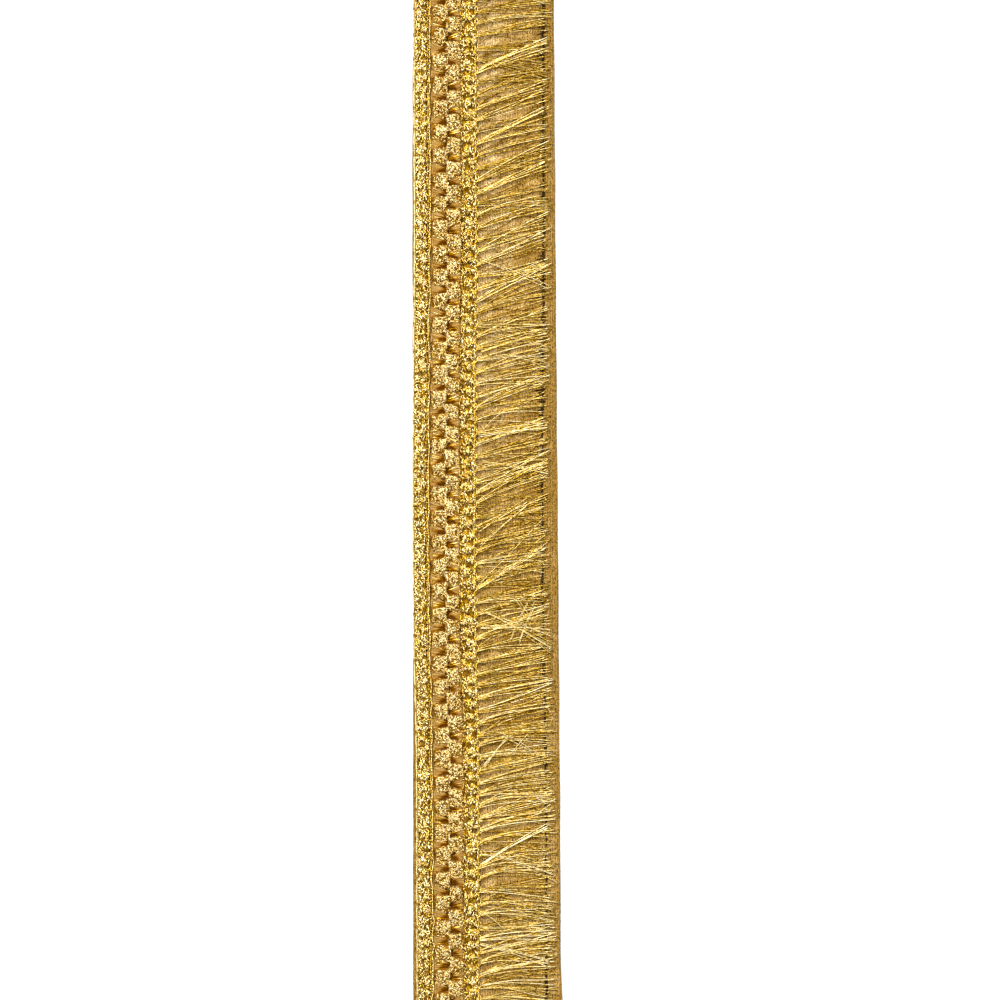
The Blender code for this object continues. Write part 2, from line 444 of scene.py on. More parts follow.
def dark_thread():
    finish = Finish("dark_brown_thread", Roughness=0.8, Specular_IOR_Level=0.1)
    fine = finish.noise(3000.0)
    finish.colour_by_tone(fine, 0.2, STITCH_SHADES)
    finish.bump(fine, 0.05 * MM)
    return finish.material


# The velvet ribbon

RIBBON_ROW = 0.9 * MM
RIBBON_COLUMNS = 72
WIRE_BEAD = 1.0 * MM

# Distances from the seam line: the hem's stitched line and the fringe's roots
HEM_STITCH = 29.5 * MM
ROOT_LINE = 12.0 * MM

# The parts of the length over which the velvet's tone changes, by y
ROSY_END = (-10 * MM, 40 * MM)
LIGHT_END = (-100 * MM, -20 * MM)
DARK_HEM_END = (-20 * MM, 20 * MM)


def velvet_height(across, along, left, right):
    """Height of the velvet's face: soft ripples, the hem's groove, the turned hem and the wire beads."""
    from_seam = across - seam(along)
    ripple = 0.035 * MM * np.sin(along / (5.3 * MM) + across / (6.1 * MM))
    ripple += 0.025 * MM * np.sin(along / (2.1 * MM) - across / (1.7 * MM) + 1.0)
    groove = -0.22 * MM * np.exp(-(((from_seam - HEM_STITCH) / (0.35 * MM)) ** 2))
    hem = 0.06 * MM * smooth_step(HEM_STITCH, HEM_STITCH + 0.8 * MM, from_seam)
    inward = np.minimum(right - across, across - left)
    valley = -0.20 * MM * np.exp(-(((inward - 1.15 * WIRE_BEAD) / (0.22 * MM)) ** 2))
    edge = -0.30 * MM * (1 - smooth_step(0.0, 0.45 * MM, inward)) ** 2
    return VELVET_TOP + ripple + groove + hem + valley + edge


def make_velvet(material):
    rows = along_length(RIBBON_ROW)
    share = np.linspace(1.0, 0.0, RIBBON_COLUMNS + 1)
    share = share - 0.012 * np.sin(2 * math.pi * share)
    along = np.repeat(rows[:, None], len(share), 1)
    left, right = left_edge(along), right_edge(along)
    left = left + 0.04 * MM * np.sin(along / (3.7 * MM))
    right = right + 0.05 * MM * np.sin(along / (4.3 * MM) + 0.7) - 0.02 * MM
    across = left + (right - left) * share
    top = as_points(across, along, velvet_height(across, along, left, right))
    under = top[:, ::-1][:, ::6].copy()
    under[..., 2] = 0.04 * MM
    under[:, (0, -1), 2] = 0.28 * MM
    rings = np.concatenate([top, under], 1)
    from_seam = rings[..., 0] - seam(rings[..., 1])
    # Painted sheen: the velvet is paler and pinker under the fringe near its roots, more so towards the
    # upper end.
    sheen_near_roots = np.exp(-(((from_seam - ROOT_LINE - 4.0 * MM) / (9.0 * MM)) ** 2))
    rosy_end = smooth_step(*ROSY_END, rings[..., 1])
    light_end = 1 - smooth_step(*LIGHT_END, rings[..., 1])
    left, right = left_edge(rings[..., 1]), right_edge(rings[..., 1])
    inward = np.minimum(right - rings[..., 0], rings[..., 0] - left)
    # Painted shade along both edges of the velvet, where they roll down.
    shaded_edge = 1 - smooth_step(0.1 * MM, 0.9 * MM, inward)
    hem = smooth_step(HEM_STITCH - 0.5 * MM, HEM_STITCH + 0.5 * MM, from_seam)
    tones = 0.15 + (0.22 + 0.45 * rosy_end) * sheen_near_roots + 0.14 * light_end - 0.32 * shaded_edge
    tones = tones - 0.15 * hem * smooth_step(*DARK_HEM_END, rings[..., 1])
    bundle = Bundle()
    bundle.add_lofts(rings[None], tones)
    return bundle.make("velvet_ribbon_cloth", "tan_velvet", material, ["velvet_ribbon"])


# Cords

OUTER_RAILS = (
    # across from the seam, height, radius, tone, seed
    (-4.42 * MM, 1.72 * MM, 0.19 * MM, 0.58, 11),
    (-4.05 * MM, 1.62 * MM, 0.15 * MM, 0.15, 12),
)
INNER_CORDS = (
    # across from the seam, height, radius of a ply, pitch, step, tone, wander, seed
    (-0.92 * MM, 1.62 * MM, 0.10 * MM, 1.6 * MM, 0.25 * MM, 0.36, 0.18 * MM, 13),
    (-0.40 * MM, 1.60 * MM, 0.12 * MM, 1.6 * MM, 0.25 * MM, 0.72, 0.18 * MM, 14),
)
RIGHT_CORD = (7.98 * MM, 1.62 * MM, 0.13 * MM, 1.9 * MM, 0.30 * MM, 0.42, 0.16 * MM, 16)
WANDER_KNOTS = 2.2 * MM


def twisted_cord(bundle, across, height, ply_radius, pitch, step, tone, wander, seed):
    """A cord of two plies along the whole ribbon, each a smooth tube wound round the other."""
    chance = np.random.default_rng(seed)
    rows = along_length(step)
    knots = along_length(WANDER_KNOTS)
    centre = seam(rows) + across
    centre = centre + wander * np.interp(rows, knots, chance.normal(0, 1, len(knots)))
    reach = 1.02 * ply_radius
    paths = []
    for ply in range(2):
        turn = 2 * math.pi * (rows / pitch + ply / 2)
        paths.append(as_points(centre + reach * np.cos(turn), rows, height + reach * np.sin(turn)))
    paths = np.array(paths)
    radii = ply_radius * (1 + 0.08 * chance.uniform(-1, 1, (*paths.shape[:2], 1)))
    tones = tone + 0.35 * chance.uniform(-1, 1, (*paths.shape[:2], 1))
    bundle.add_tubes(paths, radii, 4, tones)


def make_cords(materials):
    outer = Bundle()
    for rail in OUTER_RAILS:
        add_rail(outer, *rail)
    outer.make("outer_rail_cord", "gold_cord", materials["rail"], ["left_outer_cord"])

    inner = Bundle()
    for cord in INNER_CORDS:
        twisted_cord(inner, *cord)
    add_rungs(inner, -1.5 * MM, -0.2 * MM, 1.85 * MM, 15)
    inner.make("inner_double_cord", "gold_cord", materials["cord"], ["left_inner_cord"])

    right = Bundle()
    twisted_cord(right, *RIGHT_CORD)
    right.make("right_thin_cord", "gold_cord", materials["cord"], ["right_inner_cord"])


def add_rail(bundle, across, height, radius, tone, seed):
    """A smooth strand in long low loops, with a dark knot to each repeat of the trim."""
    chance = np.random.default_rng(seed)
    rows = along_length(0.35 * MM)
    knots = -TOP_END + (np.arange(COURSES // 2) + 0.3) * REPEAT + chance.normal(0, 0.5 * MM, COURSES // 2)
    nearest = np.abs(rows[:, None] - knots).min(1)
    open_part = smooth_step(0.0, 0.9 * MM, nearest)
    centre = seam(rows) + across - 0.10 * MM * open_part + 0.05 * MM * np.sin(rows / (0.9 * MM))
    path = as_points(centre, rows, height + 0.1 * MM * (1 - open_part))
    tones = tone - 0.55 * (1 - open_part) + 0.12 * chance.uniform(-1, 1, rows.shape)
    bundle.add_tubes(path[None], radius, 6, tones[None, :, None])


def add_rungs(bundle, near, far, height, seed):
    """Short threads that tie a gimp band to its cord, two to a course."""
    chance = np.random.default_rng(seed)
    middles = np.repeat(course_middles(), 2) + np.tile([-0.25, 0.25], COURSES) * COURSE
    middles = middles + chance.normal(0, 0.12 * MM, len(middles))
    share = np.linspace(0, 1, 6)
    along = middles[:, None] + (share - 0.5) * chance.normal(0, 0.6 * MM, (len(middles), 1))
    across = seam(along) + near + (far - near) * share
    rise = height + 0.15 * MM * np.sin(math.pi * share)
    tones = 0.5 + 0.3 * chance.uniform(-1, 1, (len(middles), 1, 1))
    bundle.add_tubes(as_points(across, along, rise), 0.10 * MM, 4, tones)


# Gimp bands

GROUND_TOP = 1.45 * MM

# Near and far side of each band, from the seam line
LEFT_GROUND = (-3.85 * MM, -1.15 * MM)
RIGHT_GROUND = (7.85 * MM, 11.5 * MM)
LEFT_FLAKES = (-4.05 * MM, -1.28 * MM)
RIGHT_FLAKES = (8.05 * MM, 11.75 * MM)

LEFT_LOOPS = (
    # across from the seam, half width, half length, lowest, highest, radius, shift, seed
    (-2.90 * MM, 0.72 * MM, 0.85 * MM, 1.55 * MM, 2.45 * MM, 0.17 * MM, 0.5 * COURSE, 22),
    (-2.35 * MM, 0.55 * MM, 0.95 * MM, 1.60 * MM, 2.40 * MM, 0.15 * MM, 0.0, 23),
)


def add_ground(bundle, near, far, seed):
    """The knitted ground under a gimp band: a low bumpy strip, coloured dark as painted shade in the holes
    between the loops.
    """
    chance = np.random.default_rng(seed)
    rows = along_length(0.45 * MM)
    share = np.linspace(1, 0, 9)
    along = np.repeat(rows[:, None], len(share), 1)
    across = seam(along) + near + (far - near) * share
    rise = GROUND_TOP + 0.12 * MM * chance.uniform(-1, 1, along.shape)
    rise[:, (0, -1)] = TRIM_FLOOR
    face = as_points(across, along, rise)
    under = face[:, (-1, 0)].copy()
    under[..., 2] = 1.08 * MM
    rings = np.concatenate([face, under], 1)
    bundle.add_lofts(rings[None], chance.uniform(0.0, 0.8, rings.shape[:2])[None])


def add_loops(bundle, centre, half_width, half_length, base, crown, radius, shift, seed):
    """One crinkled loop to each course, an open ring that rises over one part of its turn."""
    chance = np.random.default_rng(seed)
    steps, sides = 22, 4
    middles = course_middles() + shift
    one_each, each_point, each_corner = (COURSES, 1), (COURSES, steps), (COURSES, steps, sides)
    turn = np.radians(np.linspace(-50, 290, steps))[None] + chance.normal(0, 0.25, one_each)
    wide = half_width * (1 + chance.normal(0, 0.10, one_each))
    long = half_length * (1 + chance.normal(0, 0.10, one_each))
    along = middles[:, None] + long * np.sin(turn) + chance.normal(0, 0.06 * MM, each_point)
    across = seam(along) + centre + wide * np.cos(turn) + chance.normal(0, 0.06 * MM, each_point)
    rise = base + (crown - base) * (0.5 + 0.5 * np.sin(turn + chance.uniform(0, 6, one_each)))
    rise = rise + chance.normal(0, 0.05 * MM, each_point)
    radii = radius * (1 + 0.5 * chance.uniform(-1, 1, each_corner))
    tones = 0.55 + 0.4 * chance.uniform(-1, 1, each_corner)
    roll = chance.uniform(0, 3, each_point)
    bundle.add_tubes(as_points(across, along, rise), radii, sides, tones, roll, flat=0.7)


def add_curls(bundle, starts, length, radius, height_of, seed, tone, lift, edge, steep=False):
    """Short bent strands on a surface, each paler by edge along its crest and darker along its sides, a
    painted highlight and painted shade.

    They point in all directions, or with steep mostly along the ribbon.
    """
    chance = np.random.default_rng(seed)
    count, steps, sides = len(starts), 3, 3
    heading = chance.uniform(0, 2 * math.pi, (count, 1))
    if steep:
        heading = np.radians(chance.choice((62, 118), (count, 1)) + chance.normal(0, 28, (count, 1)))
    share = np.linspace(-0.5, 0.5, steps)
    size = length * chance.uniform(0.7, 1.3, (count, 1))
    bend = size * chance.normal(0, 0.5, (count, 1)) * (share**2 - 0.08)
    across = starts[:, :1] + size * share * np.cos(heading) - bend * np.sin(heading)
    along = starts[:, 1:2] + size * share * np.sin(heading) + bend * np.cos(heading)
    level = chance.uniform(0, 1, (count, 1))
    rise = height_of(across, along) + lift * (level + 0.6 * level * (1 - (2 * share) ** 2))
    rise = rise + chance.normal(0, 0.04 * MM, rise.shape)
    taper = 1 - 0.45 * (2 * share) ** 2
    radii = radius * taper[None, :, None] * chance.uniform(0.75, 1.25, (count, steps, sides))
    # Painted shade: curls that lie lower are darker and those that lie higher paler.
    tones = tone + 0.30 * (2 * level[..., None] - 1) + 0.2 * chance.uniform(-1, 1, (count, 1, 1))
    # Painted highlight along each crest and painted shade along its two lower sides, by edge.
    tones = tones + edge * np.array([1.0, -1.0, -1.0])
    roll = math.pi / 2 + chance.normal(0, 0.4, (count, 1))
    bundle.add_tubes(as_points(across, along, rise), radii, sides, tones, roll)


def scatter(near, far, per_course, seed):
    """Random places in a band along the ribbon, by x and y."""
    chance = np.random.default_rng(seed)
    count = int(per_course * COURSES)
    along = chance.uniform(-TOP_END + 0.3 * MM, TOP_END - 0.3 * MM, count)
    across = seam(along) + chance.uniform(near, far, count)
    return np.stack([across, along], -1)


def hole_places(middle, swing, shift, seed):
    """Middles of a gimp band's open holes, one to a course, left and right of the band's middle in turn."""
    chance = np.random.default_rng(seed)
    along = course_middles() + shift + chance.normal(0, 0.35 * MM, COURSES)
    side = (-1) ** np.arange(COURSES)
    across = seam(along) + middle + swing * side + chance.normal(0, 0.25 * MM, COURSES)
    return np.stack([across, along], -1)


def keep_clear(places, holes, reach):
    """The places that lie farther than reach, across and along, from every hole."""
    apart = (places[:, None, :] - holes[None]) / np.array(reach)
    return places[(apart**2).sum(-1).min(1) > 1]


def crown_height(low, high):
    """A gimp band's surface, which rises between the courses."""

    def height_of(across, along):
        crest = 0.5 + 0.5 * np.cos(2 * math.pi * (along + TOP_END) / COURSE)
        return low + (high - low) * crest

    return height_of


def add_ties(bundle, near, far, height, seed):
    """Bunches of threads that bind the gimp over its outer cord, one to a course."""
    chance = np.random.default_rng(seed)
    threads = 3
    middles = np.repeat(course_middles(), threads) + np.tile([-0.3, 0.0, 0.3], COURSES) * MM
    count = len(middles)
    middles = middles[:, None] + chance.normal(0, 0.15 * MM, (count, 1))
    share = np.linspace(0, 1, 7)
    across = seam(middles) + near + (far - near) * share
    along = middles + chance.normal(0.2, 0.5, (count, 1)) * MM * share
    rise = height + 0.25 * MM * np.sin(math.pi * share) - 0.35 * MM * (1 - share) ** 3
    # Painted shade: each thread darkens where it dips under the outer cord.
    tones = 0.6 + 0.3 * chance.uniform(-1, 1, (count, 1, 1)) - 0.35 * (1 - share[None, :, None]) ** 4
    bundle.add_tubes(as_points(across, along, rise), 0.10 * MM, 4, tones)


def make_left_gimp(materials):
    ground = Bundle()
    add_ground(ground, *LEFT_GROUND, 21)
    ground.make("left_gimp_ground", "gold_loops", materials["ground"])

    loops = Bundle()
    for row in LEFT_LOOPS:
        add_loops(loops, *row)
    holes = hole_places(-2.30 * MM, 0.55 * MM, 0.25 * COURSE, 24)
    flakes = keep_clear(scatter(*LEFT_FLAKES, 45, 25), holes, (0.70 * MM, 0.60 * MM))
    surface = crown_height(1.60 * MM, 2.20 * MM)
    look = {"tone": 0.48, "lift": 0.40 * MM, "edge": 0.45, "steep": True}
    add_curls(loops, flakes, 1.25 * MM, 0.23 * MM, surface, 26, **look)
    add_ties(loops, -4.62 * MM, -3.30 * MM, 2.00 * MM, 27)
    loops.make("left_gimp_loops", "gold_loops", materials["loops"], ["left_gimp"])


def make_right_gimp(materials):
    ground = Bundle()
    add_ground(ground, *RIGHT_GROUND, 31)
    ground.make("right_gimp_ground", "gold_loops", materials["ground"])

    loops = Bundle()
    chance = np.random.default_rng(32)
    strands, steps = 4, 20
    for course, middle in enumerate(course_middles()):
        hand = 1 if course % 2 else -1
        order = np.arange(strands)[:, None]
        start = chance.normal(-60, 18)
        arc = np.radians(np.linspace(start, start + 250, steps))[None]
        turn = arc + chance.normal(0, 0.15, (strands, 1))
        wide = (1.35 - 0.20 * order + chance.normal(0, 0.12)) * MM
        long = (1.40 - 0.25 * order + chance.normal(0, 0.15)) * MM
        along = middle + 0.45 * COURSE + long * np.sin(turn) + chance.normal(0, 0.25) * MM * np.cos(turn)
        across = seam(along) + (9.85 + chance.normal(0, 0.12)) * MM + hand * wide * np.cos(turn)
        rise = (1.60 + 0.80 * np.clip(np.sin(turn + 0.3), -0.3, 1) + 0.05 * order) * MM
        paths = as_points(across, along, rise) + chance.normal(0, 0.05 * MM, (strands, steps, 3))
        tones = 0.42 + 0.35 * chance.uniform(-1, 1, (strands, steps, 1))
        loops.add_tubes(paths, 0.115 * MM, 4, tones, roll=chance.uniform(0, 1, (strands, steps)))
    surface = crown_height(1.65 * MM, 2.35 * MM)
    holes = hole_places(9.85 * MM, 0.60 * MM, 0.0, 34)
    flakes = keep_clear(scatter(*RIGHT_FLAKES, 52, 35), holes, (0.78 * MM, 0.60 * MM))
    outer_half = smooth_step(9.0 * MM, 10.4 * MM, flakes[:, 0] - seam(flakes[:, 1]))
    tone = (0.34 + 0.09 * outer_half)[:, None, None]
    look = {"tone": tone, "lift": 0.40 * MM, "edge": 0.43, "steep": True}
    add_curls(loops, flakes, 1.30 * MM, 0.23 * MM, surface, 36, **look)
    middles = course_middles()[:-1]
    cushions = np.stack([seam(middles) + 9.9 * MM, middles + 0.5 * COURSE], -1)
    look = {"tone": 0.48, "lift": 0.20 * MM, "edge": 0.15}
    add_curls(loops, cushions, 1.1 * MM, 0.42 * MM, surface, 38, **look)
    loops.make("right_gimp_loops", "gold_loops", materials["loops"], ["right_gimp"])


def make_picot_cord(materials):
    bundle = Bundle()
    rows = along_length(0.3 * MM)
    phase = 2 * math.pi * (rows + TOP_END) / COURSE
    wave = 1.15 * MM * (np.abs(np.sin(phase / 2 - 0.66)) - 0.45)
    knots = along_length(1.6 * MM)
    wave = wave + 0.10 * MM * np.interp(rows, knots, np.random.default_rng(37).normal(0, 1, len(knots)))
    for ply in range(2):
        turn = 2 * math.pi * (rows / (1.7 * MM) + ply / 2)
        across = seam(rows) + 11.75 * MM + wave + 0.11 * MM * np.cos(turn)
        path = as_points(across, rows, 2.35 * MM + 0.11 * MM * np.sin(turn))
        tones = 0.48 + 0.26 * np.cos(phase - 4.47)
        bundle.add_tubes(path[None], 0.105 * MM, 4, tones[None, :, None])
    bundle.make("picot_looped_cord", "gold_cord", materials["cord"], ["picot_cord"])


# Chenille

CHENILLE_START = 0.05 * MM
CHENILLE_WIDTH = 7.80 * MM
COLUMN_SPLIT = 4.12 * MM
TUFT_LENGTH = 4.40 * MM
TUFT_FLOOR = 1.4 * MM
TUFT_RISE = 1.8 * MM
TUFT_COLUMNS = (
    # left side, right side, middle of the column's first tuft
    (0.25 * MM, 4.45 * MM, -TOP_END + 0.5 * COURSE - 0.12 * MM),
    (3.80 * MM, 7.90 * MM, -TOP_END + 1.5 * COURSE - 0.35 * MM),
)
TUFTS = COURSES // 2 + 2


def tuft_shifts():
    """Each tuft's own shift across and along, its turn and its size, by column and tuft."""
    chance = np.random.default_rng(40)
    shape = (len(TUFT_COLUMNS), TUFTS)
    return (
        chance.normal(0, 0.11 * MM, shape),
        chance.normal(0, 0.14 * MM, shape),
        chance.normal(0, 0.09, shape),
        chance.normal(1.0, 0.05, shape),
    )


TUFT_SHIFTS = tuft_shifts()


def tuft_place(across, along, column):
    """Place in its tuft: u is -1 at the left and 1 at the right, v is -1 at the tail and 1 at the head."""
    left, right, middle = TUFT_COLUMNS[column]
    tuft = np.floor((along - middle) / REPEAT + 0.5).astype(int)
    own = np.clip(tuft, 0, TUFTS - 1)
    across_shift, along_shift, turn, size = (values[column][own] for values in TUFT_SHIFTS)
    x = across - seam(along) - (left + right) / 2 - across_shift
    y = along - middle - tuft * REPEAT - along_shift
    half_width, half_length = (right - left) / 2 * size, TUFT_LENGTH / 2 * size
    return (x + turn * y) / half_width, (y - turn * x) / half_length


def tuft_cover(u, v, column):
    """How fully a place is covered by its tuft, from 0 to 1: sharp at the head, fading at the tail."""
    outward = u if column else -u
    side = 1 - smooth_step(0.86, 1.04, np.abs(u))
    head = 1 - smooth_step(0.90, 1.03, v)
    corner = 1 - smooth_step(1.45, 1.75, outward + v)
    return side * head * corner * smooth_step(-1.3, -0.95, v)


def tuft_height(across, along):
    height = TUFT_FLOOR
    for column in range(len(TUFT_COLUMNS)):
        u, v = tuft_place(across, along, column)
        slope = 0.38 + 0.62 * smooth_step(-1.1, 0.5, v)
        height = np.maximum(height, TUFT_FLOOR + TUFT_RISE * slope * tuft_cover(u, v, column))
    return height


def fold_tone(across, along):
    """Tone of the yarn under the glitter: pale below each tuft's tail, darkened as painted shade in the
    recess above a head and under the tufts.
    """
    in_left_column = across - seam(along) < COLUMN_SPLIT
    tones = []
    for column in range(len(TUFT_COLUMNS)):
        u, v = tuft_place(across, along, column)
        v = np.where(v > 1.0, v - 2 * REPEAT / TUFT_LENGTH, v)
        gap = np.clip((-0.9 - v) / (2 * REPEAT / TUFT_LENGTH - 1.9), 0, 1)
        outward = u if column else -u
        # Painted shade: darker in the recess above each head, and dark under the tufts, where it shows
        # between the curls.
        recess_shade = smooth_step(0.08, 0.42, (1 - outward) / 2 - 0.42 * (1 - gap))
        fold = 0.70 - (0.66 if column else 0.56) * recess_shade
        tones.append(np.where(v > -0.9, 0.20, fold))
    return np.where(in_left_column, *tones)


def make_chenille(materials, yarn):
    body = Bundle()
    chance = np.random.default_rng(41)
    rows = along_length(0.28 * MM)
    share = np.linspace(1, 0, 29)
    along = np.repeat(rows[:, None], len(share), 1)
    across = seam(along) + CHENILLE_START + CHENILLE_WIDTH * share
    rise = tuft_height(across, along)
    tall = smooth_step(1.8 * MM, 2.4 * MM, rise)
    rise = rise + tall * 0.12 * MM * chance.uniform(-1, 1, rise.shape) - 0.10 * MM
    face = as_points(across, along, rise)
    under = face[:, (-1, 0)].copy()
    under[..., 2] = 1.15 * MM
    rings = np.concatenate([face, under], 1)
    tones = fold_tone(across, along) + 0.12 * chance.uniform(-1, 1, rise.shape)
    tones = np.concatenate([tones, np.zeros((len(rows), 2))], 1)
    body.add_lofts(rings[None], tones[None])
    body.make("chenille_core", "glitter_chenille", yarn, ["zigzag_chenille"])

    for column, name in enumerate(("left_tuft_pile", "right_tuft_pile")):
        pile = Bundle()
        left, right, _ = TUFT_COLUMNS[column]
        places = scatter(left, right, 96, 42 + column)
        u, v = tuft_place(places[:, 0], places[:, 1], column)
        keep = chance.uniform(0, 1, len(places)) < smooth_step(-1.3, -0.5, v) * 0.6 + 0.4
        places = places[(tuft_cover(u, v, column) > 0.2) & keep]
        u, v = tuft_place(places[:, 0], places[:, 1], column)
        # Painted light: each tuft is paler towards its head and on the side towards the other column, with
        # a painted highlight near its middle.
        crest = np.exp(-((u + 0.1) ** 2 + (v - 0.15) ** 2) / 0.35)
        tone = 0.375 + 0.02 * v + 0.09 * (-u if column else u) + 0.16 * crest
        look = {"tone": tone[:, None, None], "lift": 0.18 * MM, "edge": 0.40}
        add_curls(pile, places, 0.95 * MM, 0.20 * MM, tuft_height, 44 + column, **look)
        pile.make(name, "glitter_chenille", materials["glitter"])


FAN_STRANDS = 9


def make_fans(materials, yarn):
    """Fine pleats of the yarn in the gaps between tufts, which converge on the far tuft's corner."""
    pleats, streaks = Bundle(), Bundle()
    chance = np.random.default_rng(51)
    gap = REPEAT - TUFT_LENGTH
    for column, (left, right, first) in enumerate(TUFT_COLUMNS):
        outer, focus = (left, right - 0.25 * MM) if column == 0 else (right, left + 0.25 * MM)
        for tuft in range(COURSES // 2):
            head = first + tuft * REPEAT + TUFT_LENGTH / 2
            tail = head + gap
            if tail > TOP_END:
                continue
            order = np.linspace(0, 1, FAN_STRANDS)[:, None]
            share = np.linspace(0, 1, 7)[None]
            start_y = head + 0.1 * MM + (gap + 0.7 * MM) * order
            end_y = head + 0.10 * MM + 0.9 * MM * order + chance.normal(0, 0.1 * MM)
            along = start_y + (end_y - start_y) * share**0.9 + chance.normal(0, 0.05 * MM, (FAN_STRANDS, 1))
            across = seam(along) + outer + (focus - outer) * share
            rise = (1.42 + 0.62 * order * (1 - 0.35 * share) + 0.12 * np.sin(math.pi * share)) * MM
            rise = rise + chance.normal(0, 0.04 * MM, (FAN_STRANDS, 1))
            paths = as_points(across, along, rise)
            # Painted shade: the pleats darken towards where they converge, in the recess above a head.
            depth, slope = (0.90, 0.15) if column else (0.78, 0.0)
            recess = smooth_step(0.15 + 0.42 * order, 0.48 + 0.42 * order, share)
            tones = 0.62 + 0.10 * order - depth * recess - slope * share
            tones = tones[..., None] + 0.17 * chance.normal(0, 1, (FAN_STRANDS, 1, 1))
            shiny = chance.uniform(0, 1, FAN_STRANDS) < 0.12
            for chosen, bundle in ((~shiny, pleats), (shiny, streaks)):
                if chosen.any():
                    bundle.add_tubes(paths[chosen], 0.12 * MM, 4, tones[chosen], flat=0.8)
    pleats.make("chenille_fold_pleats", "glitter_chenille", yarn)
    streaks.make("chenille_fold_streaks", "gold_cord", materials["cord"])


# Fringe

THREADS_PER_COURSE = 7
# Loose threads under each course's bunch, at the upper and the lower end
UNDER_THREADS = (3, 6)
THREAD_STEPS = 32
THREAD_RADIUS = 0.140 * MM
FRINGE_REACH = (16.6 * MM, 20.5 * MM)
HEADING = (11.35 * MM, 12.0 * MM)
FRINGE_ROOT = 11.70 * MM
ROOT_HEIGHT = 2.1 * MM

# The parts of the length over which the fringe's shape and tone change, by y
LONGER_END = (-90 * MM, -20 * MM)
PALER_END = (-120 * MM, -20 * MM)
DARKER_END = (40 * MM, 120 * MM)


def cluster_lean(chance):
    """How far each course's threads lean from the comb's own angle, in degrees."""
    knots = np.arange(0, COURSES + 3, 3)
    slow = np.interp(np.arange(COURSES), knots, chance.normal(0, 5.0, len(knots)))
    return slow + chance.normal(0, 7.5, COURSES)


def fan_of_threads(chance, middle, lean, count, angle_spread, layers):
    """Threads from one course's common root: each has its own angle, length, bow and layer, from 0 to 1."""
    share = np.linspace(0, 1, THREAD_STEPS)[None]
    order = np.linspace(-1, 1, count)[:, None] + chance.normal(0, 0.15, (count, 1))
    angle = np.radians(comb_angle(middle) + lean + chance.normal(0, angle_spread, (count, 1)))
    shortest, longest = FRINGE_REACH
    lower_end = 1 - smooth_step(*LONGER_END, middle)
    reach = shortest + (longest - shortest) * chance.beta(2.2, 1.6, (count, 1)) + 0.8 * lower_end * MM
    root = order * 0.42 * MM + chance.normal(0, 0.25 * MM)
    tip = order * chance.uniform(0.25, 0.60) * COURSE + chance.normal(0, 0.60 * MM, (count, 1))
    arch = (0.40 + 0.30 * lower_end) * MM * chance.normal(1.0, 0.55)
    arch = arch + chance.normal(0, 0.25 * MM, (count, 1))
    along = middle + root + (tip - root) * share**1.1
    along = along + reach * np.tan(angle) * share + arch * np.sin(math.pi * share**0.75)
    phase = chance.uniform(0, 1, (count, 1))
    sway = np.sin(2 * math.pi * (share * 1.3 + phase))
    along = along + chance.normal(0, 0.12 * MM, (count, 1)) * share * sway
    across = seam(middle) + FRINGE_ROOT + reach * share
    layer = chance.uniform(*layers, (count, 1))
    high = 2.00 * MM + 0.30 * MM * layer
    low = VELVET_TOP + 0.20 * MM + 0.85 * MM * layer
    rise = low + (high - low) * (1 - smooth_step(0.0, 0.40, share))
    rise = rise + 0.15 * MM * np.sin(math.pi * share) * layer
    return as_points(across, along, rise), layer


def fringe_paths(chance):
    """All threads' centre lines and layers. Each course has its bunch over a looser, deeper one."""
    lean = cluster_lean(chance)
    fans = []
    for course, middle in enumerate(course_middles()):
        count = THREADS_PER_COURSE + chance.integers(-1, 2)
        fans.append(fan_of_threads(chance, middle, lean[course], count, 3.2, (0.35, 1.0)))
        under = UNDER_THREADS[0] if chance.uniform(-0.06, 0.06) < middle else UNDER_THREADS[1]
        fans.append(fan_of_threads(chance, middle, 0.0, under, 9.0, (0.0, 0.35)))
    paths, layers = zip(*fans)
    return np.concatenate(paths), np.concatenate(layers)


STRAYS = (
    # root_x, root_y, tip_x, tip_y, how many threads and how far apart, all but the count in the
    # photo's pixels, and the tips' height over the velvet
    (478, 436, 504, 411, 1, 0.0, 1.2 * MM),
    (509, 356, 548, 365, 2, 2.0, 0.9 * MM),
    (479, 608, 552, 642, 7, 3.5, 1.2 * MM),
    (480, 626, 552, 632, 4, 3.0, 1.1 * MM),
    (510, 640, 528, 602, 2, 5.0, 0.9 * MM),
    (519, 640, 535, 603, 2, 5.0, 0.8 * MM),
    (480, 911, 503, 929, 2, 1.0, 1.2 * MM),
    (516, 600, 532, 625, 2, 3.0, 1.3 * MM),
    (483, 768, 508, 738, 3, 3.0, 1.1 * MM),
    (500, 735, 530, 750, 2, 2.0, 1.2 * MM),
    (511, 753, 528, 732, 2, 3.0, 1.3 * MM),
    (537, 816, 551, 807, 2, 2.0, 0.9 * MM),
    (479, 262, 549, 285, 2, 2.0, 1.1 * MM),
    (480, 69, 548, 41, 5, 3.0, 1.1 * MM),
    (478, 144, 545, 109, 5, 2.5, 1.2 * MM),
    (480, 193, 546, 164, 4, 2.5, 1.1 * MM),
    (479, 531, 528, 499, 2, 1.5, 1.2 * MM),
    (479, 547, 527, 505, 2, 2.0, 1.1 * MM),
    (479, 396, 521, 384, 2, 2.0, 1.2 * MM),
    (480, 352, 548, 331, 3, 2.5, 1.2 * MM),
    (479, 436, 548, 428, 3, 2.0, 1.1 * MM),
    (482, 462, 549, 474, 3, 2.5, 1.0 * MM),
    (479, 866, 549, 826, 4, 3.0, 1.1 * MM),
    (479, 943, 549, 962, 3, 2.5, 1.1 * MM),
)
PIXEL = PHOTO_WIDTH / PHOTO_PIXELS


def photo_point(x, y):
    middle = PHOTO_PIXELS / 2
    return (x - middle) * PIXEL + PHOTO_CENTRE[0], (middle - y) * PIXEL + PHOTO_CENTRE[1]


